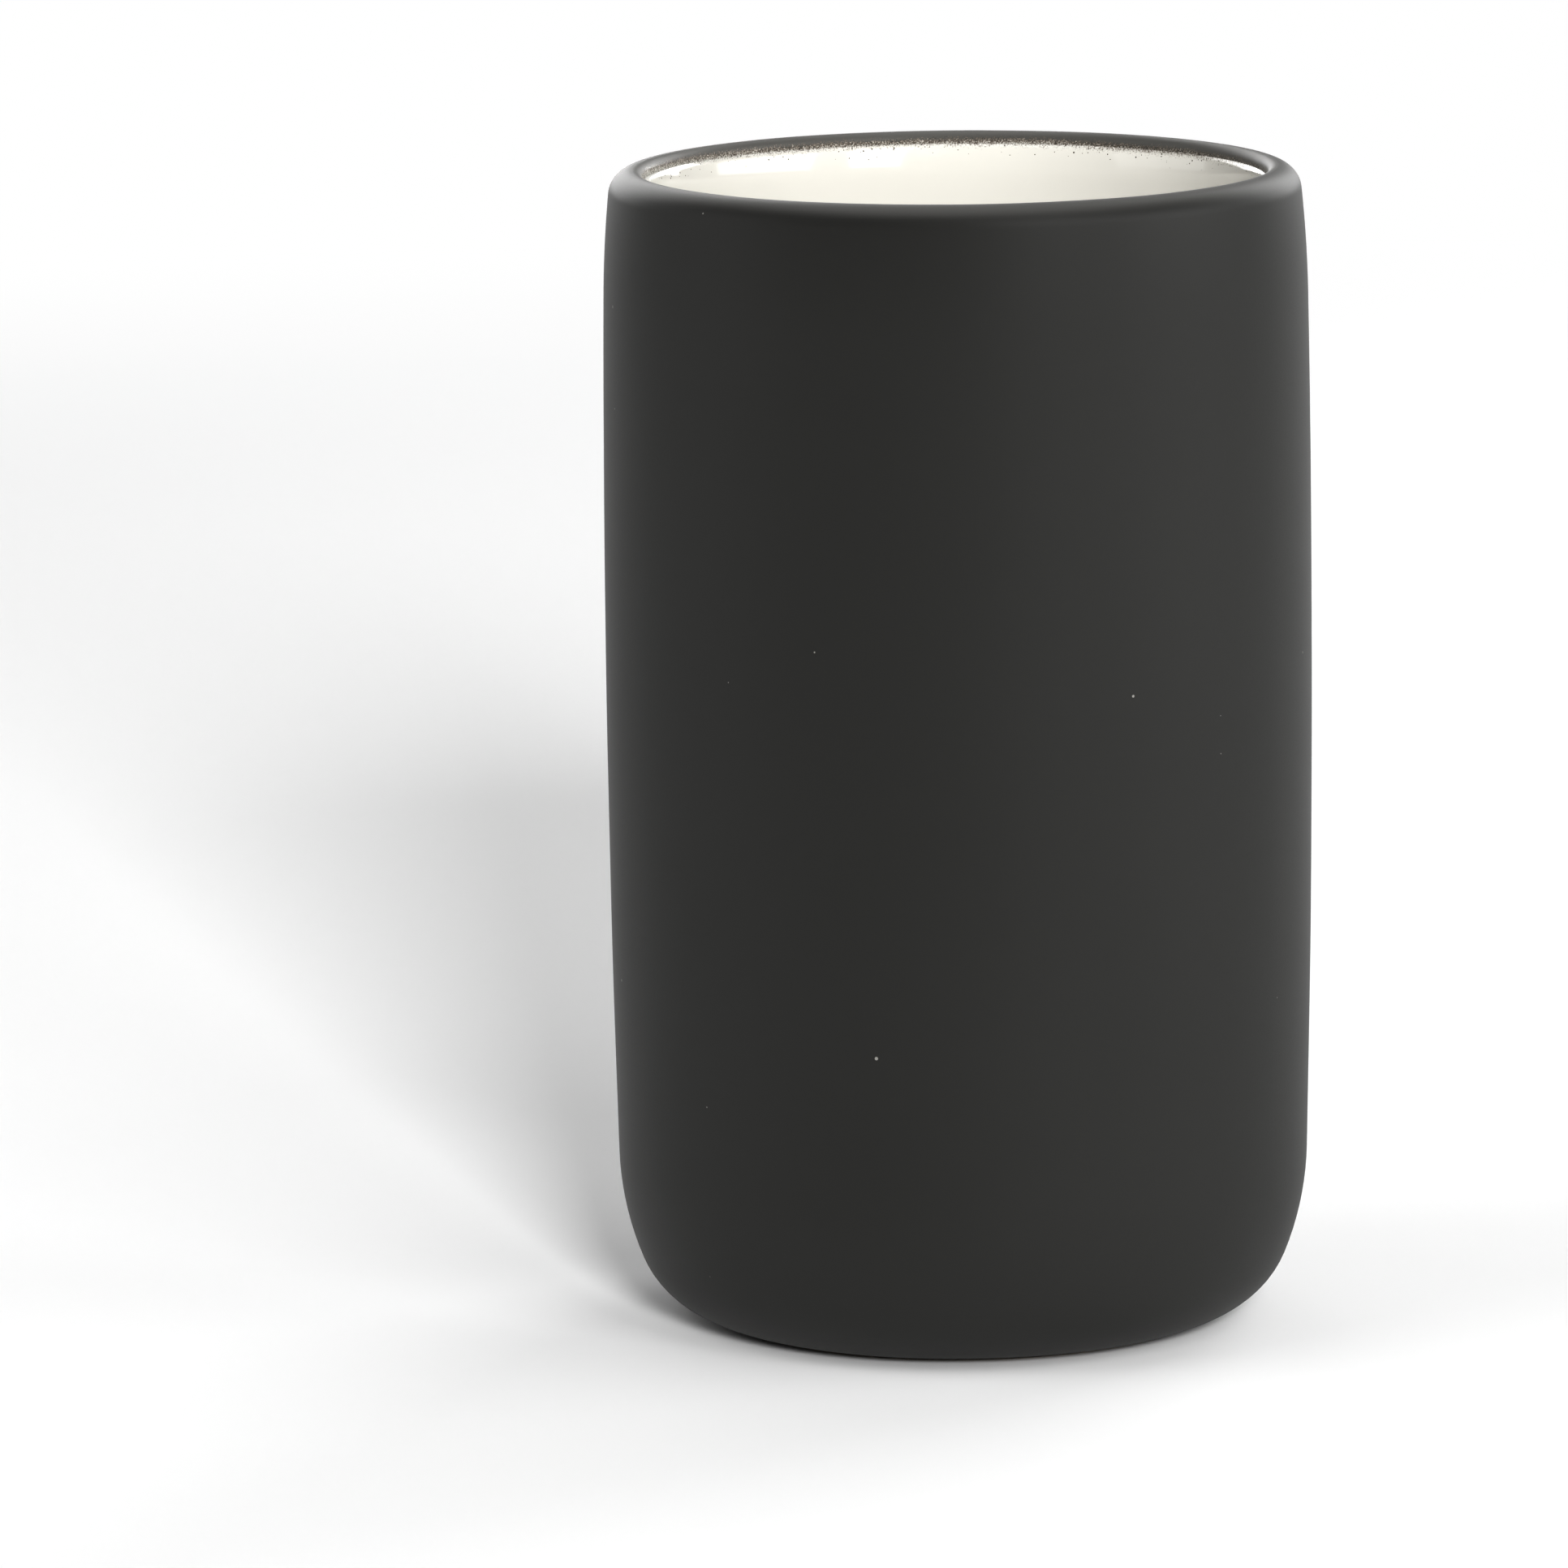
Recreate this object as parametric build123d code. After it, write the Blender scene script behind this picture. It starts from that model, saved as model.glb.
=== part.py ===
from build123d import *
import os
from math import cos, radians, sin

# Empty candle jar: a round stoneware pot, matte dark glaze outside and glossy cream glaze inside.
#
# Millimetres, +Z up. The origin is the centre of the plane that the foot stands on.
# Every piece is a full turn about Z, drawn once as a half section (x outwards, y up) and revolved.
#
# The section is a chain of arcs, each tangent to the one before. Followed from the foot outwards,
# up, over the lip and down inside, its heading is 0 degrees along the table, 90 going up,
# 180 across the crown and 270 going down. The same chain, run at a depth of one glaze thickness
# with each radius that much smaller, is the surface of the fired clay.

# Overall size
jar_diameter = 80.0
jar_height = 131.5
glaze_thickness = 0.3

# Outer skin, from the foot to the crown: radius of each arc and the heading at its end
heel_radius = 11.0
heel_heading = 68.0
lower_wall_radius = 34.0
lower_wall_heading = 88.6
barrel_heading = 90.9
shoulder_radius = 140.0
shoulder_heading = 95.8
lip_outer_radius = 2.8
crown_heading = 180.0

# Inner side of the lip, where the outer glaze stops part of the way down the throat
lip_inner_radius = 1.0
throat_heading = 250.0
glaze_line_heading = 253.5
bore_heading = 270.0

# Cavity
bore_radius = 34.5
floor_height = 6.0
floor_corner_radius = 10.0

# Foot: a dry ring of bare clay that lifts the outer glaze clear of the table
glaze_lift = 0.4
foot_ring_width = 4.2
recess_depth = 1.4
recess_corner_radius = 0.9


def climb(start_heading, end_heading):
    """Height gained, per unit of radius, by an arc that turns between two headings."""
    return cos(radians(start_heading)) - cos(radians(end_heading))


def spread(start_heading, end_heading):
    """Distance gained outwards, per unit of radius, by an arc that turns between two headings."""
    return sin(radians(end_heading)) - sin(radians(start_heading))


# The barrel arc takes up whatever height the other arcs leave.
height_without_barrel = (
    glaze_lift
    + heel_radius * climb(0, heel_heading)
    + lower_wall_radius * climb(heel_heading, lower_wall_heading)
    + shoulder_radius * climb(barrel_heading, shoulder_heading)
    + lip_outer_radius * climb(shoulder_heading, crown_heading)
)
barrel_radius = (jar_height - height_without_barrel) / climb(lower_wall_heading, barrel_heading)

# The foot is set in so that the widest point, where the barrel heads straight up, is on size.
foot_radius = (
    jar_diameter / 2
    - heel_radius * spread(0, heel_heading)
    - lower_wall_radius * spread(heel_heading, lower_wall_heading)
    - barrel_radius * spread(lower_wall_heading, 90)
)

# The throat arc takes up whatever the lip leaves between the crown and the bore.
crown_radius = (
    jar_diameter / 2
    + barrel_radius * spread(90, barrel_heading)
    + shoulder_radius * spread(barrel_heading, shoulder_heading)
    + lip_outer_radius * spread(shoulder_heading, crown_heading)
)
throat_start_radius = crown_radius + lip_inner_radius * spread(crown_heading, throat_heading)
throat_radius = (bore_radius - throat_start_radius) / spread(throat_heading, bore_heading)

outer_arcs = [
    (heel_radius, heel_heading),
    (lower_wall_radius, lower_wall_heading),
    (barrel_radius, barrel_heading),
    (shoulder_radius, shoulder_heading),
    (lip_outer_radius, crown_heading),
    (lip_inner_radius, throat_heading),
    (throat_radius, glaze_line_heading),
]


def tangent_arc(start, heading, radius, turn):
    """Arc that leaves start along heading; a positive turn is to the left."""
    direction = (cos(radians(heading)), sin(radians(heading)))
    return JernArc(start=start, tangent=direction, radius=radius, arc_size=turn)


def outer_surface(depth):
    """Edges of the outer skin at a depth, from the foot over the lip to the glaze line."""
    edges = []
    point = (foot_radius, glaze_lift + depth)
    heading = 0
    for radius, end_heading in outer_arcs:
        edges.append(tangent_arc(point, heading, radius - depth, end_heading - heading))
        point = edges[-1] @ 1
        heading = end_heading
    return edges


def inner_surface(depth):
    """Edges of the inner skin at a depth, from the glaze line down the bore to the floor's centre."""
    glaze_line = outer_surface(depth)[-1] @ 1
    throat = tangent_arc(
        glaze_line, glaze_line_heading, throat_radius - depth, bore_heading - glaze_line_heading
    )
    wall = Line(throat @ 1, (bore_radius + depth, floor_height + floor_corner_radius))
    corner = tangent_arc(wall @ 1, bore_heading, floor_corner_radius + depth, -90)
    floor = Line(corner @ 1, (0, floor_height - depth))
    return [throat, wall, corner, floor]


def foot_surface():
    """Edges of the bare clay underneath, from the recess's centre to the edge of the outer glaze."""
    ring_inner_radius = foot_radius - foot_ring_width
    recess_edge = (ring_inner_radius - recess_corner_radius, recess_depth)
    recess_top = Line((0, recess_depth), recess_edge)
    recess_corner = tangent_arc(recess_edge, 0, recess_corner_radius, -90)
    ring_inner_round = tangent_arc(recess_corner @ 1, -90, recess_depth - recess_corner_radius, 90)
    standing_face = Line(ring_inner_round @ 1, (foot_radius - glaze_lift, 0))
    ring_outer_round = tangent_arc(standing_face @ 1, 0, glaze_lift, 90)
    glaze_edge = Line(ring_outer_round @ 1, (foot_radius, glaze_lift + glaze_thickness))
    return [recess_top, recess_corner, ring_inner_round, standing_face, ring_outer_round, glaze_edge]


def glaze_section(surface):
    """Edges of a glaze layer, between a surface's outside and the clay one glaze thickness below."""
    outside = surface(0)
    clay = surface(glaze_thickness)
    start_edge = Line(outside[0] @ 0, clay[0] @ 0)
    end_edge = Line(outside[-1] @ 1, clay[-1] @ 1)
    return outside + clay + [start_edge, end_edge]


def clay_section():
    """Edges of the clay body, closed along the jar's axis."""
    foot = foot_surface()
    inside = inner_surface(glaze_thickness)
    axis_edge = Line(inside[-1] @ 1, foot[0] @ 0)
    return foot + outer_surface(glaze_thickness) + inside + [axis_edge]


def turned(section):
    """Solid made by a full turn of a closed half section about Z."""
    return revolve(Plane.XZ * make_face(section), axis=Axis.Z)


pieces = {
    "stoneware_body": turned(clay_section()),
    "matte_outer_glaze": turned(glaze_section(outer_surface)),
    "gloss_inner_glaze": turned(glaze_section(inner_surface)),
}

os.makedirs("parts", exist_ok=True)
for name, piece in pieces.items():
    export_step(piece, f"parts/{name}.step")
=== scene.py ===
from math import atan2, ceil, cos, degrees, hypot, pi, radians, sin

import bpy
from mathutils import Matrix, Vector, noise


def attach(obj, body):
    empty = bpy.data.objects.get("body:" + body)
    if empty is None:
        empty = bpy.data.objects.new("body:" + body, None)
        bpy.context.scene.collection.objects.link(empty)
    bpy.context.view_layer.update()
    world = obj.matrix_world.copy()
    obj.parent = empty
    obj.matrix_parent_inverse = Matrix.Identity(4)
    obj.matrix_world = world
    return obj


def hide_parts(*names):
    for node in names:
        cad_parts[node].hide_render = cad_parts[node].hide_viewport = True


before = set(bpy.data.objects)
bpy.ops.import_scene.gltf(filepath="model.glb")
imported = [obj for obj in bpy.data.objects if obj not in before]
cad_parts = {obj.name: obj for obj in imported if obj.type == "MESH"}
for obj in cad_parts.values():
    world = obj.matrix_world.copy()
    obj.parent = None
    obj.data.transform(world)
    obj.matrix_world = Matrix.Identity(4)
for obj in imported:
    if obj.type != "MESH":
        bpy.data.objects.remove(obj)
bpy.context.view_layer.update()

# Lengths are in metres unless a comment says otherwise, in the CAD frame: +Z up, origin at the
# centre of the foot. The angles named here are in degrees.
MM = 0.001

# The jar's section, as in the CAD: a chain of tangent arcs, each a radius and the heading at its
# end. Followed from the foot outwards, up, over the lip and down inside, the heading is 0 degrees
# along the table, 90 going up, 180 across the crown and 270 going down.
JAR_RADIUS = 40.0 * MM
JAR_HEIGHT = 131.5 * MM
GLAZE = 0.3 * MM
HEEL = (11.0 * MM, 68.0)
LOWER_WALL = (34.0 * MM, 88.6)
BARREL_HEADING = 90.9
SHOULDER = (140.0 * MM, 95.8)
LIP_OUTSIDE = (2.8 * MM, 180.0)
LIP_INSIDE = (1.0 * MM, 250.0)
GLAZE_LINE_HEADING = 253.5
BORE_HEADING = 270.0
BORE_RADIUS = 34.5 * MM
FLOOR_HEIGHT = 6.0 * MM
FLOOR_CORNER = 10.0 * MM
GLAZE_LIFT = 0.4 * MM
FOOT_RING_WIDTH = 4.2 * MM
RECESS_DEPTH = 1.4 * MM
RECESS_CORNER = 0.9 * MM

# How finely the meshes follow the section
COLUMNS = 288
VISIBLE_STEP = 1.4 * MM
HIDDEN_STEP = 4.0 * MM
LARGEST_TURN = 6.0
THROAT_DIVISIONS = 6
ROUND_DIVISIONS = 6
TOUCHING = 0.001 * MM

# The fired glaze's relief: a slow swell and a finer ripple, each a height and a length
GLAZE_SWELL = (0.030 * MM, 17 * MM)
GLAZE_RIPPLE = (0.005 * MM, 4 * MM)

# The outer glaze's wiped lower edge: how far it wanders, and the lengths of its slow and fine waves
EDGE_WANDER = 0.2 * MM
EDGE_WAVE = 9 * MM
EDGE_FINE_WAVE = 2.5 * MM
EDGE_FINE_SHARE = 0.4

# The bare clay's relief: turned tool lines and a little grog
TOOL_LINE_PITCH = 1.3 * MM
TOOL_LINE_DEPTH = 0.03 * MM
GROG_DEPTH = 0.06 * MM
GROG_WAVE = 0.9 * MM
FOOT_STEP = TOOL_LINE_PITCH / 4

# Offsets that keep the waves unlike one another
RIPPLE_OFFSET = 3.0
EDGE_OFFSET = 5.0
GROG_OFFSET = 7.0
EDGE_FINE_OFFSET = 9.0

# The wandering line inside the lip where the charcoal spray thins out over the cream: its mean
# height, its slope towards +X, how far and over what length it wanders, and the depth over which
# the spray fades
SPRAY_LINE = 130.2 * MM
SPRAY_LEAN = -0.006
SPRAY_SWELL = 0.5 * MM
SPRAY_SWELL_LENGTH = 14 * MM
SPRAY_FADE = 0.6 * MM

# How ragged that line is: lumps, a fine mist and the reach of its soft edge. Their heights are
# counted in fades.
SPRAY_LUMPS = 0.7
SPRAY_LUMP_SIZE = 0.9 * MM
SPRAY_MIST = 3.4
SPRAY_MIST_SIZE = 0.17 * MM
SPRAY_EDGE = 1.2

# Stray drops of spray: how many fades below the line they reach, their spacing and radius, how many
# cells hold one, and how well one hides the cream
DROP_REACH = 3.5
DROP_SPACING = 0.32 * MM
DROP_RADIUS = 0.10 * MM
DROP_SHARE = 0.5
DROP_COVER = 0.8

# Where the spray dulls the cream's gloss: how patchy it is, the patches' size, and the heights above
# the line between which it sets in. All but the size are counted in fades.
GLOSS_PATCHES = 5.0
GLOSS_PATCH_SIZE = 0.15 * MM
DULL_START = -0.4
DULL_END = 0.8

# The jar's mouth: beyond this radius, or below this height, a point of the outer glaze is outside.
# The step at the radius has a width.
MOUTH_RADIUS = 35.5 * MM
MOUTH_EDGE = 0.4 * MM
MOUTH_HEIGHT = 125.0 * MM

# Grey on the lip, from thin spray inside it and partly painted light on the outer lip's upturned top:
# a radius just outside the crown that parts the inside from the outside, the width of that step, the
# heights between which the grey sets in on each side, and how strong it gets outside
CROWN_RADIUS = 36.4 * MM
CROWN_WIDTH = 0.3 * MM
WEAR_INSIDE = (129.7 * MM, 130.5 * MM)
OUTER_LIP_GREY_AND_LIGHT_HEIGHTS = (129.9 * MM, 131.3 * MM)
OUTER_LIP_GREY_AND_LIGHT_SHARE = 0.42

# Colours, as linear red, green, blue and alpha
CHARCOAL_DARK = (0.0160, 0.0160, 0.0144, 1)
CHARCOAL_LIGHT = (0.0188, 0.0187, 0.0171, 1)
CHARCOAL_GRAIN = (0.0228, 0.0226, 0.0209, 1)
# The lip's grey: thin spray inside the lip, and partly painted light on the outer lip's top
LIP_GREY_AND_PAINTED_LIGHT = (0.086, 0.084, 0.078, 1)
DUST = (0.35, 0.34, 0.32, 1)
THIN_SPRAY = (0.15, 0.125, 0.10, 1)
CREAM_WARM = (0.553, 0.541, 0.504, 1)
CREAM_PALE = (0.583, 0.572, 0.536, 1)
IRON_SPECK = (0.10, 0.075, 0.05, 1)
CLAY_WARM = (0.46, 0.36, 0.26, 1)
CLAY_PALE = (0.56, 0.47, 0.36, 1)
CLAY_SHADE = (0.33, 0.25, 0.18, 1)
CLAY_GROG = (0.75, 0.70, 0.60, 1)
FLOOR_COLOUR = (0.86, 0.86, 0.86, 1)

# Noise patterns: size of the lumps, then detail and roughness where they aren't the usual ones
CHARCOAL_CLOUDS = (24 * MM,)
CREAM_CLOUDS = (16 * MM,)
FINE_GRAIN = (0.2 * MM, 3.0, 0.6)
CLAY_CLOUDS = (8 * MM, 4.0)
CLAY_SAND = (0.35 * MM, 3.0, 0.65)

# Scattered specks: their spacing, largest radius and, except for the dust, how many cells hold one
DUST_SPECKS = (3.2 * MM, 0.2 * MM)
IRON_SPECKS = (6 * MM, 0.14 * MM, 0.35)
DARK_GROG = (1.1 * MM, 0.28 * MM, 0.22)
PALE_GROG = (1.4 * MM, 0.3 * MM, 0.2)

# How far off the second set of specks in one material is read, so that it differs from the first
SECOND_PATTERN = (0.5, 0.3, 0.7)

# How many cells hold dust low on the jar and at its lip, and the heights that it changes between
DUST_SHARES = (0.08, 0.45)
DUST_HEIGHTS = (120 * MM, 130 * MM)

# How strongly each pattern colours what lies under it
CHARCOAL_GRAIN_SHARE = 0.35
DUST_COVER = 0.6
IRON_COVER = 0.7
SAND_COVER = 0.4
DARK_GROG_COVER = 0.7
PALE_GROG_COVER = 0.5

# As the spray covers the cream, from 0 to 1, thin spray hides it fully at the first of these, and
# charcoal starts to hide the thin spray at the second
THIN_SPRAY_FULL = 0.8
CHARCOAL_START = 0.6

# Finishes
MATTE_ROUGHNESS = 0.5
MATTE_VARIATION = 0.04
GLOSS_ROUGHNESS = 0.09
GLAZE_IOR = 1.58
GRAIN_HEIGHT = 0.012 * MM
GRAIN_STRENGTH = 0.5
CLAY_ROUGHNESS = (0.78, 0.95)
SAND_HEIGHT = 0.05 * MM
SAND_STRENGTH = 0.7
FLOOR_ROUGHNESS = 0.9
FLOOR_SPECULAR = 0.1

# The floor, and the distances from the jar's axis between which it fades to white
FLOOR_SIZE = 3.0
FLOOR_GAP = 0.06 * MM
FLOOR_FADE_START = 0.5
FLOOR_FADE_END = 1.0

# The surroundings: how bright they look, how bright they light the jar, and how bright their +Y side
# lights it, which comes in between these two y components of a direction
SEEN_BRIGHTNESS = 1.0
AMBIENT_BRIGHTNESS = 0.17
BACKDROP_BRIGHTNESS = 0.92
BACKDROP_START = 0.5
BACKDROP_FULL = 0.95

# The camera: display gamma, place, lens and sensor in millimetres, and angles
CAMERA_CONTRAST_GAMMA = 0.7
CAMERA_PLACE = (0.0, -1.2091, 0.2711)
CAMERA_LENS = 247.92
CAMERA_SENSOR = 36.0
CAMERA_LOOK_DOWN = 9.850
CAMERA_TURN_LEFT = 0.947
CAMERA_ROLL = -0.659

# Soft lights: name, azimuth, elevation, distance, width, height, watts
SOFTBOXES = [
    ("key_softbox", 301.0, 29.0, 1.2, 0.45, 1.0, 4.8),
    ("right_softbox", 350.0, 18.0, 1.2, 1.0, 0.7, 5.8),
    ("left_softbox", 182.0, 18.0, 1.2, 1.0, 0.7, 2.3),
    ("back_right_softbox", 55.0, 20.0, 1.2, 0.7, 0.7, 6.4),
]
# Panels that only show as glare on the glazes
GLARE_PANELS = [
    ("overhead_panel", 90.0, 80.0, 1.2, 1.2, 1.4, 10.5),
    ("back_left_panel", 114.0, 20.0, 1.2, 0.8, 0.7, 7.2),
]
# Lamps that add no glare: one draws the jar's long shadow, the other fills the inside
PLAIN_LAMPS = [
    ("shadow_lamp", 279.5, 18.5, 5.0, 0.9, 0.9, 310.0),
    ("fill_lamp", 205.0, 40.0, 1.2, 0.8, 0.8, 3.4),
]


# ---------------------------------------------------------------- section

def climb(start, end):
    """Height gained, per unit of radius, by an arc that turns between two headings."""
    return cos(radians(start)) - cos(radians(end))


def spread(start, end):
    """Distance gained outwards, per unit of radius, by an arc that turns between two headings."""
    return sin(radians(end)) - sin(radians(start))


def solve_section():
    """The outer skin's arcs, the foot's radius and the throat's radius, all fixed by the jar's size."""
    fixed_climb = (
        GLAZE_LIFT
        + HEEL[0] * climb(0, HEEL[1])
        + LOWER_WALL[0] * climb(HEEL[1], LOWER_WALL[1])
        + SHOULDER[0] * climb(BARREL_HEADING, SHOULDER[1])
        + LIP_OUTSIDE[0] * climb(SHOULDER[1], LIP_OUTSIDE[1])
    )
    barrel = (JAR_HEIGHT - fixed_climb) / climb(LOWER_WALL[1], BARREL_HEADING)
    foot = (
        JAR_RADIUS
        - HEEL[0] * spread(0, HEEL[1])
        - LOWER_WALL[0] * spread(HEEL[1], LOWER_WALL[1])
        - barrel * spread(LOWER_WALL[1], 90)
    )
    throat_start = (
        JAR_RADIUS
        + barrel * spread(90, BARREL_HEADING)
        + SHOULDER[0] * spread(BARREL_HEADING, SHOULDER[1])
        + LIP_OUTSIDE[0] * spread(SHOULDER[1], LIP_OUTSIDE[1])
        + LIP_INSIDE[0] * spread(LIP_OUTSIDE[1], LIP_INSIDE[1])
    )
    throat = (BORE_RADIUS - throat_start) / spread(LIP_INSIDE[1], BORE_HEADING)
    arcs = [
        HEEL,
        LOWER_WALL,
        (barrel, BARREL_HEADING),
        SHOULDER,
        LIP_OUTSIDE,
        LIP_INSIDE,
        (throat, GLAZE_LINE_HEADING),
    ]
    return arcs, foot, throat


OUTER_ARCS, FOOT_RADIUS, THROAT_RADIUS = solve_section()


def divisions(radius, turn, step):
    """How many straight runs stand for an arc."""
    return max(ceil(abs(turn) / LARGEST_TURN), ceil(radians(abs(turn)) * radius / step))


def arc(start, heading, radius, turn, count):
    """Points (r, z, heading) along an arc that leaves start, without the start itself."""
    signed = radius if turn > 0 else -radius
    centre_r = start[0] - signed * sin(radians(heading))
    centre_z = start[1] + signed * cos(radians(heading))
    points = []
    for i in range(1, count + 1):
        h = heading + turn * i / count
        points.append((centre_r + signed * sin(radians(h)), centre_z - signed * cos(radians(h)), h))
    return points


def straight(start, end, step):
    """Points (r, z, heading) along a straight run, without its start."""
    run_r = end[0] - start[0]
    run_z = end[1] - start[1]
    heading = degrees(atan2(run_z, run_r))
    count = ceil(hypot(run_r, run_z) / step)
    return [
        (start[0] + run_r * i / count, start[1] + run_z * i / count, heading)
        for i in range(1, count + 1)
    ]


def heel_point(depth, heading):
    """The point of the heel at a heading, at a depth below the outer skin."""
    radius = HEEL[0] - depth
    return (
        FOOT_RADIUS + radius * sin(radians(heading)),
        GLAZE_LIFT + HEEL[0] - radius * cos(radians(heading)),
        heading,
    )


def outer_line(depth, step, edge_heading=0.0):
    """The outer skin at a depth, from a heading on the heel, over the lip, to the glaze line."""
    points = [heel_point(depth, edge_heading)]
    arc_start = 0.0
    for radius, end_heading in OUTER_ARCS:
        count = divisions(radius, end_heading - arc_start, step)
        heading = points[-1][2]
        points += arc(points[-1], heading, radius - depth, end_heading - heading, count)
        arc_start = end_heading
    return points


def inner_line(depth, step):
    """The inner skin at a depth, from the glaze line down the bore to the middle of the floor."""
    start = outer_line(depth, HIDDEN_STEP)[-1]
    throat_turn = BORE_HEADING - GLAZE_LINE_HEADING
    points = [start]
    points += arc(start, GLAZE_LINE_HEADING, THROAT_RADIUS - depth, throat_turn, THROAT_DIVISIONS)
    points += straight(points[-1], (BORE_RADIUS + depth, FLOOR_HEIGHT + FLOOR_CORNER), step)
    corner_count = divisions(FLOOR_CORNER, 90, step)
    points += arc(points[-1], BORE_HEADING, FLOOR_CORNER + depth, -90, corner_count)
    points += straight(points[-1], (0, FLOOR_HEIGHT - depth), step)
    return points


def foot_line(step):
    """The bare clay underneath, from the middle of the recess to the edge of the outer glaze."""
    ring_inside = FOOT_RADIUS - FOOT_RING_WIDTH
    ring_round = RECESS_DEPTH - RECESS_CORNER
    points = [(0, RECESS_DEPTH, 0)]
    points += straight(points[-1], (ring_inside - RECESS_CORNER, RECESS_DEPTH), step)
    points += arc(points[-1], 0, RECESS_CORNER, -90, ROUND_DIVISIONS)
    points += arc(points[-1], -90, ring_round, 90, ROUND_DIVISIONS)
    points += straight(points[-1], (FOOT_RADIUS - GLAZE_LIFT, 0), step)
    points += arc(points[-1], 0, GLAZE_LIFT, 90, ROUND_DIVISIONS)
    points += straight(points[-1], (FOOT_RADIUS, GLAZE_LIFT + GLAZE), step)
    return points


# ---------------------------------------------------------------- surface relief

def wave(position, wavelength, offset=0.0):
    """A smooth random height between about -1 and 1 that varies over a wavelength."""
    return noise.noise(position / wavelength + Vector((offset, -offset, 2 * offset)))


def glaze_relief(position):
    """How far the fired glaze stands off its nominal surface."""
    swell_height, swell_length = GLAZE_SWELL
    ripple_height, ripple_length = GLAZE_RIPPLE
    swell = swell_height * wave(position, swell_length)
    return swell + ripple_height * wave(position, ripple_length, RIPPLE_OFFSET)


def clay_relief(position):
    """The turned clay underneath: shallow concentric tool lines and a little grog, all cut inwards."""
    tool_line = sin(2 * pi * position.xy.length / TOOL_LINE_PITCH) - 1
    grog = wave(position, GROG_WAVE, GROG_OFFSET) - 1
    return TOOL_LINE_DEPTH / 2 * tool_line + GROG_DEPTH / 2 * grog


def on_jar(section_point, angle, relief=None, share=1.0):
    """A section point turned to an angle, moved along its outward normal by a share of the relief."""
    r, z, heading = section_point
    position = Vector((r * cos(angle), r * sin(angle), z))
    if relief is None:
        return position
    outward = sin(radians(heading))
    normal = Vector((outward * cos(angle), outward * sin(angle), -cos(radians(heading))))
    return position + normal * relief(position) * share


# ---------------------------------------------------------------- meshes

def turned_piece(name, column_at):
    """A closed smooth piece from column_at(angle), the points round its section at that angle.

    A section that starts and ends on the axis gets one shared vertex at each of those ends.
    """
    columns = [column_at(2 * pi * i / COLUMNS) for i in range(COLUMNS)]
    on_axis = columns[0][0].xy.length < TOUCHING
    if on_axis:
        poles = [columns[0][0], columns[0][-1]]
        columns = [column[1:-1] for column in columns]
    rows = len(columns[0])
    vertices = [point for column in columns for point in column]
    faces = []
    for i in range(COLUMNS):
        here = i * rows
        there = (i + 1) % COLUMNS * rows
        for row in range(rows - 1):
            faces.append((here + row, there + row, there + row + 1, here + row + 1))
        if on_axis:
            faces.append((len(vertices), there, here))
            faces.append((len(vertices) + 1, here + rows - 1, there + rows - 1))
        else:
            faces.append((here + rows - 1, there + rows - 1, there, here))
    if on_axis:
        vertices += poles
    mesh = bpy.data.meshes.new(name)
    mesh.from_pydata(vertices, [], faces)
    mesh.shade_smooth()
    piece = bpy.data.objects.new(name, mesh)
    bpy.context.scene.collection.objects.link(piece)
    return piece


def glaze_edge(angle):
    """The rounded, slightly wandering edge where the outer glaze was wiped off above the foot."""
    on_circle = Vector((cos(angle), sin(angle), 0)) * FOOT_RADIUS
    slow = wave(on_circle, EDGE_WAVE, EDGE_OFFSET)
    fine = EDGE_FINE_SHARE * wave(on_circle, EDGE_FINE_WAVE, EDGE_FINE_OFFSET)
    wander = EDGE_WANDER * (1 + slow + fine)
    points = []
    for i in range(ROUND_DIVISIONS):
        rise = pi / 2 * i / ROUND_DIVISIONS
        travel = wander + GLAZE * (1 - cos(rise))
        heading = degrees(travel / HEEL[0])
        point = heel_point(GLAZE * (1 - sin(rise)), heading)
        points.append(on_jar(point, angle, glaze_relief, sin(rise)))
    return points, degrees((wander + GLAZE) / HEEL[0])


def outer_glaze_column(angle):
    """The outer glaze's section at an angle: its wiped edge, its skin and its side on the clay."""
    edge, skin_heading = glaze_edge(angle)
    skin = [on_jar(p, angle, glaze_relief) for p in outer_line(0, VISIBLE_STEP, skin_heading)]
    clay_side = [on_jar(p, angle) for p in outer_line(GLAZE, HIDDEN_STEP, skin_heading)]
    return edge + skin + clay_side[::-1]


def inner_glaze_column(angle):
    """The inner glaze's section at an angle: up its side on the clay, then down its skin."""
    clay_side = [on_jar(p, angle) for p in inner_line(GLAZE, HIDDEN_STEP)]
    skin = [on_jar(p, angle, glaze_relief) for p in inner_line(0, VISIBLE_STEP)]
    return clay_side[::-1] + skin


def clay_column(angle):
    """The clay's section at an angle: bare underneath, then covered by both glazes."""
    bare = [on_jar(p, angle, clay_relief) for p in foot_line(FOOT_STEP)]
    covered = outer_line(GLAZE, HIDDEN_STEP)[1:] + inner_line(GLAZE, HIDDEN_STEP)[1:]
    return bare + [on_jar(p, angle) for p in covered]


def add_piece(name, column_at, node, material):
    """A finely made stand-in for one CAD node, with its own material."""
    piece = turned_piece(name, column_at)
    piece.data.materials.append(material)
    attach(piece, "root")
    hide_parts(node)


# ---------------------------------------------------------------- material nodes

def add_node(tree, kind, inputs=None, **settings):
    """A new node; inputs go by name or number, each a value or the socket that feeds it."""
    node = tree.nodes.new(kind)
    for setting, value in settings.items():
        setattr(node, setting, value)
    for key, value in (inputs or {}).items():
        if isinstance(value, bpy.types.NodeSocket):
            tree.links.new(value, node.inputs[key])
        else:
            node.inputs[key].default_value = value
    return node


def maths(tree, operation, *values):
    """The result of a Math node."""
    node = add_node(tree, "ShaderNodeMath", dict(enumerate(values)), operation=operation)
    return node.outputs[0]


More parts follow.
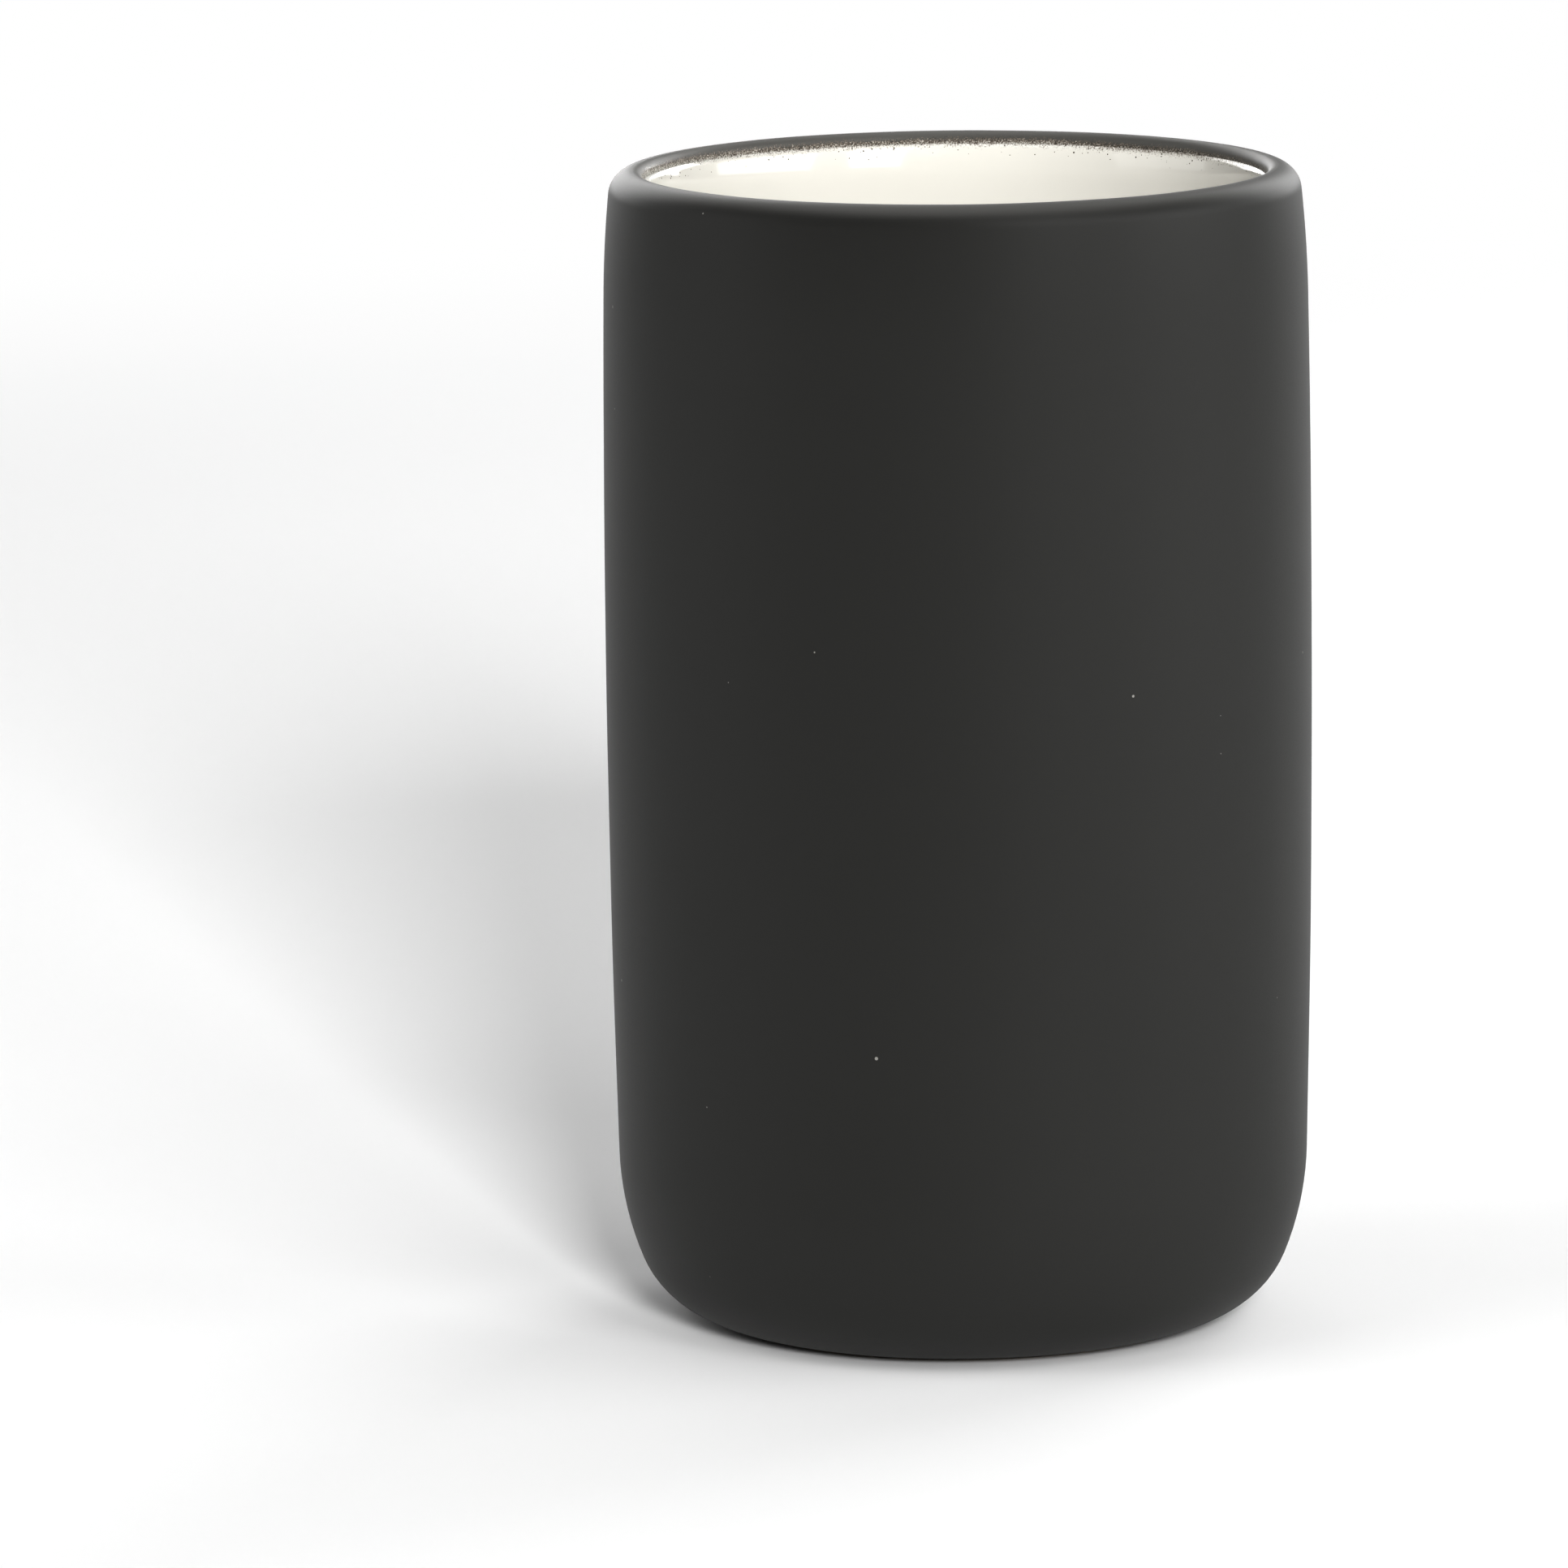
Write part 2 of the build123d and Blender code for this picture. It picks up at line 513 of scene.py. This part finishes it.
def ramp_between(tree, value, low, high):
    """0 where value is below low, 1 where it is above high, and a smooth step between."""
    inputs = {"Value": value, "From Min": low, "From Max": high}
    node = add_node(tree, "ShaderNodeMapRange", inputs, interpolation_type="SMOOTHSTEP")
    return node.outputs[0]


def coordinate(tree, position, axis):
    """One coordinate of a position: axis 0, 1 or 2 for x, y or z."""
    return add_node(tree, "ShaderNodeSeparateXYZ", {0: position}).outputs[axis]


def shifted(tree, position):
    """The same position moved well away, so that a second pattern isn't the first one again."""
    inputs = {0: position, 1: SECOND_PATTERN}
    return add_node(tree, "ShaderNodeVectorMath", inputs, operation="ADD").outputs[0]


def grain(tree, position, size, detail=2.0, roughness=0.5):
    """Noise from 0 to 1 whose lumps are about size across."""
    inputs = {"Vector": position, "Scale": 1 / size, "Detail": detail, "Roughness": roughness}
    return add_node(tree, "ShaderNodeTexNoise", inputs).outputs["Fac"]


def specks(tree, position, spacing, radius, share):
    """1 inside small scattered dots and 0 between them. share is how many cells hold a dot."""
    inputs = {"Vector": position, "Scale": 1 / spacing}
    cells = add_node(tree, "ShaderNodeTexVoronoi", inputs)
    chance = add_node(tree, "ShaderNodeSeparateColor", {0: cells.outputs["Color"]})
    size = maths(tree, "MULTIPLY", chance.outputs[1], radius / spacing)
    inside = maths(tree, "LESS_THAN", cells.outputs["Distance"], size)
    chosen = maths(tree, "LESS_THAN", chance.outputs[0], share)
    return maths(tree, "MULTIPLY", inside, chosen)


def mixed(tree, share, low, high):
    """A colour that goes from low to high as share goes from 0 to 1."""
    node = add_node(tree, "ShaderNodeMix", {0: share, 6: low, 7: high}, data_type="RGBA")
    return node.outputs[2]


def blended(tree, share, low, high):
    """A number that goes from low to high as share goes from 0 to 1."""
    return add_node(tree, "ShaderNodeMix", {0: share, 2: low, 3: high}).outputs[0]


def new_material(name):
    """An empty material: its tree, its shader and the position on the jar in metres."""
    material = bpy.data.materials.new(name)
    material.use_nodes = True
    tree = material.node_tree
    shader = tree.nodes["Principled BSDF"]
    position = add_node(tree, "ShaderNodeTexCoord").outputs["Object"]
    return material, tree, shader, position


def centred(tree, noise_socket, height):
    """Noise from 0 to 1 made into a height that averages 0."""
    return maths(tree, "MULTIPLY", maths(tree, "SUBTRACT", noise_socket, 0.5), height)


def above_spray_line(tree, position, z):
    """Height over the wandering line where the charcoal spray thins out, in units of its fade."""
    lean = maths(tree, "MULTIPLY", coordinate(tree, position, 0), SPRAY_LEAN)
    swell = centred(tree, grain(tree, position, SPRAY_SWELL_LENGTH), SPRAY_SWELL)
    line = maths(tree, "ADD", maths(tree, "ADD", lean, swell), SPRAY_LINE)
    return maths(tree, "DIVIDE", maths(tree, "SUBTRACT", z, line), SPRAY_FADE)


def spray_masks(tree, position):
    """How far the sprayed charcoal hides the cream, and how far it has dulled the gloss, inside the lip."""
    z = coordinate(tree, position, 2)
    above = above_spray_line(tree, position, z)
    lumps = centred(tree, grain(tree, position, SPRAY_LUMP_SIZE), SPRAY_LUMPS)
    mist = centred(tree, grain(tree, position, SPRAY_MIST_SIZE), SPRAY_MIST)
    ragged = maths(tree, "ADD", above, maths(tree, "ADD", lumps, mist))
    coat = ramp_between(tree, ragged, -SPRAY_EDGE, SPRAY_EDGE)
    nearness = ramp_between(tree, above, -DROP_REACH, 0.0)
    chance = maths(tree, "MULTIPLY", nearness, DROP_SHARE)
    drops = specks(tree, position, DROP_SPACING, DROP_RADIUS, chance)
    cover = maths(tree, "MAXIMUM", coat, maths(tree, "MULTIPLY", drops, DROP_COVER))
    patches = centred(tree, grain(tree, position, GLOSS_PATCH_SIZE), GLOSS_PATCHES)
    dull = ramp_between(tree, maths(tree, "ADD", above, patches), DULL_START, DULL_END)
    return cover, dull


def radius_between(tree, position, middle, width):
    """0 nearer the jar's axis than middle and 1 beyond it, with a smooth step of some width."""
    x = coordinate(tree, position, 0)
    y = coordinate(tree, position, 1)
    flat = add_node(tree, "ShaderNodeCombineXYZ", {0: x, 1: y}).outputs[0]
    radius = add_node(tree, "ShaderNodeVectorMath", {0: flat}, operation="LENGTH").outputs["Value"]
    return ramp_between(tree, radius, middle - width / 2, middle + width / 2)


def outside_share(tree, position):
    """1 on the outside of the jar and 0 within its mouth."""
    z = coordinate(tree, position, 2)
    wide = radius_between(tree, position, MOUTH_RADIUS, MOUTH_EDGE)
    low = maths(tree, "LESS_THAN", z, MOUTH_HEIGHT)
    return maths(tree, "MAXIMUM", wide, low)


def lip_grey_and_painted_light(tree, position, z):
    """How far the charcoal turns grey: inside the lip where the spray lies thin, and less on the outer lip
    towards its crown, where it is partly painted light on that upturned top.
    """
    beyond_crown = radius_between(tree, position, CROWN_RADIUS, CROWN_WIDTH)
    inside = ramp_between(tree, z, *WEAR_INSIDE)
    # Outside the crown the grey is partly painted light, lightening the lip's top where it turns up to the
    # lights
    outside = maths(tree, "MULTIPLY", ramp_between(tree, z, *OUTER_LIP_GREY_AND_LIGHT_HEIGHTS), OUTER_LIP_GREY_AND_LIGHT_SHARE)
    return blended(tree, beyond_crown, inside, outside)


def charcoal_colour(tree, position, fine):
    """Matte charcoal: faintly clouded, finely grained, grey at the lip (partly painted light on its outer
    top), with a little pale dust, mostly near the lip.
    """
    z = coordinate(tree, position, 2)
    colour = mixed(tree, grain(tree, position, *CHARCOAL_CLOUDS), CHARCOAL_DARK, CHARCOAL_LIGHT)
    colour = mixed(tree, maths(tree, "MULTIPLY", fine, CHARCOAL_GRAIN_SHARE), colour, CHARCOAL_GRAIN)
    # The lip's grey: thin spray inside the lip, partly painted light on the outer lip's top
    colour = mixed(tree, lip_grey_and_painted_light(tree, position, z), colour, LIP_GREY_AND_PAINTED_LIGHT)
    share = blended(tree, ramp_between(tree, z, *DUST_HEIGHTS), *DUST_SHARES)
    dust = specks(tree, position, *DUST_SPECKS, share)
    return mixed(tree, maths(tree, "MULTIPLY", dust, DUST_COVER), colour, DUST)


def cream_colour(tree, position):
    """Cream glaze: faintly clouded, with a few tiny iron specks."""
    colour = mixed(tree, grain(tree, position, *CREAM_CLOUDS), CREAM_WARM, CREAM_PALE)
    iron = specks(tree, position, *IRON_SPECKS)
    return mixed(tree, maths(tree, "MULTIPLY", iron, IRON_COVER), colour, IRON_SPECK)


def two_glaze_material(name, covers_outside):
    """Matte charcoal glaze sprayed over glossy cream, as on the lip of the jar."""
    material, tree, shader, position = new_material(name)
    cover, dull = spray_masks(tree, position)
    if covers_outside:
        outside = outside_share(tree, position)
        cover = maths(tree, "MAXIMUM", cover, outside)
        dull = maths(tree, "MAXIMUM", dull, outside)
    fine = grain(tree, position, *FINE_GRAIN)
    thin = ramp_between(tree, cover, 0.0, THIN_SPRAY_FULL)
    thick = ramp_between(tree, cover, CHARCOAL_START, 1.0)
    under = mixed(tree, thin, cream_colour(tree, position), THIN_SPRAY)
    colour = mixed(tree, thick, under, charcoal_colour(tree, position, fine))
    tree.links.new(colour, shader.inputs["Base Color"])

    matte = blended(tree, fine, MATTE_ROUGHNESS - MATTE_VARIATION, MATTE_ROUGHNESS + MATTE_VARIATION)
    tree.links.new(blended(tree, dull, GLOSS_ROUGHNESS, matte), shader.inputs["Roughness"])
    shader.inputs["IOR"].default_value = GLAZE_IOR

    relief = maths(tree, "MULTIPLY", fine, dull)
    bump_inputs = {"Height": relief, "Strength": GRAIN_STRENGTH, "Distance": GRAIN_HEIGHT}
    bump = add_node(tree, "ShaderNodeBump", bump_inputs)
    tree.links.new(bump.outputs[0], shader.inputs["Normal"])
    return material


def clay_material(name):
    """Bare fired stoneware: buff, dry, with dark and pale grog."""
    material, tree, shader, position = new_material(name)
    cloud = grain(tree, position, *CLAY_CLOUDS)
    sand = grain(tree, position, *CLAY_SAND)
    dark_grog = specks(tree, position, *DARK_GROG)
    pale_grog = specks(tree, shifted(tree, position), *PALE_GROG)
    clay = mixed(tree, cloud, CLAY_WARM, CLAY_PALE)
    clay = mixed(tree, maths(tree, "MULTIPLY", sand, SAND_COVER), clay, CLAY_SHADE)
    clay = mixed(tree, maths(tree, "MULTIPLY", dark_grog, DARK_GROG_COVER), clay, IRON_SPECK)
    clay = mixed(tree, maths(tree, "MULTIPLY", pale_grog, PALE_GROG_COVER), clay, CLAY_GROG)
    tree.links.new(clay, shader.inputs["Base Color"])
    tree.links.new(blended(tree, sand, *CLAY_ROUGHNESS), shader.inputs["Roughness"])
    bump_inputs = {"Height": sand, "Strength": SAND_STRENGTH, "Distance": SAND_HEIGHT}
    bump = add_node(tree, "ShaderNodeBump", bump_inputs)
    tree.links.new(bump.outputs[0], shader.inputs["Normal"])
    return material


# ---------------------------------------------------------------- floor, light and camera

def floor_material(name):
    """Plain pale paper that runs out into the white surroundings well away from the jar."""
    material, tree, shader, position = new_material(name)
    shader.inputs["Base Color"].default_value = FLOOR_COLOUR
    shader.inputs["Roughness"].default_value = FLOOR_ROUGHNESS
    shader.inputs["Specular IOR Level"].default_value = FLOOR_SPECULAR
    fade_width = FLOOR_FADE_END - FLOOR_FADE_START
    fade = radius_between(tree, position, FLOOR_FADE_START + fade_width / 2, fade_width)
    white = add_node(tree, "ShaderNodeEmission", {"Strength": SEEN_BRIGHTNESS})
    both = add_node(tree, "ShaderNodeMixShader", {0: fade, 1: shader.outputs[0], 2: white.outputs[0]})
    tree.links.new(both.outputs[0], tree.nodes["Material Output"].inputs["Surface"])
    return material


def add_floor():
    """A plain pale floor, just under the foot."""
    half = FLOOR_SIZE / 2
    corners = [(-half, -half, 0), (half, -half, 0), (half, half, 0), (-half, half, 0)]
    mesh = bpy.data.meshes.new("floor")
    mesh.from_pydata(corners, [], [(0, 1, 2, 3)])
    floor = bpy.data.objects.new("floor", mesh)
    floor.location.z = -FLOOR_GAP
    bpy.context.scene.collection.objects.link(floor)
    mesh.materials.append(floor_material("pale_floor"))


def add_softbox(name, azimuth, elevation, distance, width, height, watts):
    """A rectangular soft light that faces the middle of the jar. Azimuth 0 is on the +X side."""
    light = bpy.data.lights.new(name, "AREA")
    light.shape = "RECTANGLE"
    light.size = width
    light.size_y = height
    light.energy = watts
    lamp = bpy.data.objects.new(name, light)
    level = distance * cos(radians(elevation))
    middle = Vector((0, 0, JAR_HEIGHT / 2))
    away = Vector((
        level * cos(radians(azimuth)),
        level * sin(radians(azimuth)),
        distance * sin(radians(elevation)),
    ))
    lamp.location = middle + away
    lamp.rotation_euler = (-away).to_track_quat("-Z", "Y").to_euler()
    lamp.visible_camera = False
    bpy.context.scene.collection.objects.link(lamp)
    return lamp


def add_lights():
    """The softboxes, the panels that only show in reflections and the lamps that show in none."""
    for softbox in SOFTBOXES:
        add_softbox(*softbox)
    for panel in GLARE_PANELS:
        add_softbox(*panel).visible_diffuse = False
    for lamp in PLAIN_LAMPS:
        add_softbox(*lamp).visible_glossy = False


def add_world():
    """White surroundings: plain white to the camera, and brighter on the +Y side as a light."""
    world = bpy.data.worlds.new("studio")
    world.use_nodes = True
    tree = world.node_tree
    tree.nodes.clear()
    direction = add_node(tree, "ShaderNodeTexCoord").outputs["Generated"]
    facing = ramp_between(tree, coordinate(tree, direction, 1), BACKDROP_START, BACKDROP_FULL)
    strength = blended(tree, facing, AMBIENT_BRIGHTNESS, BACKDROP_BRIGHTNESS)
    seen = add_node(tree, "ShaderNodeBackground", {0: (1, 1, 1, 1), 1: SEEN_BRIGHTNESS})
    lighting = add_node(tree, "ShaderNodeBackground", {0: (1, 1, 1, 1), 1: strength})
    camera_ray = add_node(tree, "ShaderNodeLightPath").outputs["Is Camera Ray"]
    mix_inputs = {0: camera_ray, 1: lighting.outputs[0], 2: seen.outputs[0]}
    either = add_node(tree, "ShaderNodeMixShader", mix_inputs)
    add_node(tree, "ShaderNodeOutputWorld", {0: either.outputs[0]})
    bpy.context.scene.world = world


def add_camera():
    """A long lens a little above the jar, turned slightly left so that the jar sits right of centre."""
    camera = bpy.data.cameras.new("camera")
    camera.sensor_width = CAMERA_SENSOR
    camera.lens = CAMERA_LENS
    viewer = bpy.data.objects.new("camera", camera)
    turn = Matrix.Rotation(radians(CAMERA_TURN_LEFT), 4, "Z")
    pitch = Matrix.Rotation(radians(90 - CAMERA_LOOK_DOWN), 4, "X")
    roll = Matrix.Rotation(radians(CAMERA_ROLL), 4, "Z")
    viewer.matrix_world = Matrix.Translation(CAMERA_PLACE) @ turn @ pitch @ roll
    bpy.context.scene.collection.objects.link(viewer)
    bpy.context.scene.camera = viewer


# ---------------------------------------------------------------- the scene

def build_scene():
    """The jar's three pieces, then the floor, the lights and the camera."""
    clay = clay_material("fired_clay")
    outer = two_glaze_material("charcoal_glaze", True)
    inner = two_glaze_material("cream_glaze", False)
    add_piece("fired_clay_body", clay_column, "stoneware_body", clay)
    add_piece(
        "charcoal_outer_glaze", outer_glaze_column, "matte_outer_glaze", outer
    )
    add_piece(
        "cream_inner_glaze", inner_glaze_column, "gloss_inner_glaze", inner
    )
    add_floor()
    add_world()
    add_lights()
    add_camera()
    bpy.context.scene.view_settings.view_transform = "Standard"
    bpy.context.scene.view_settings.gamma = CAMERA_CONTRAST_GAMMA


build_scene()
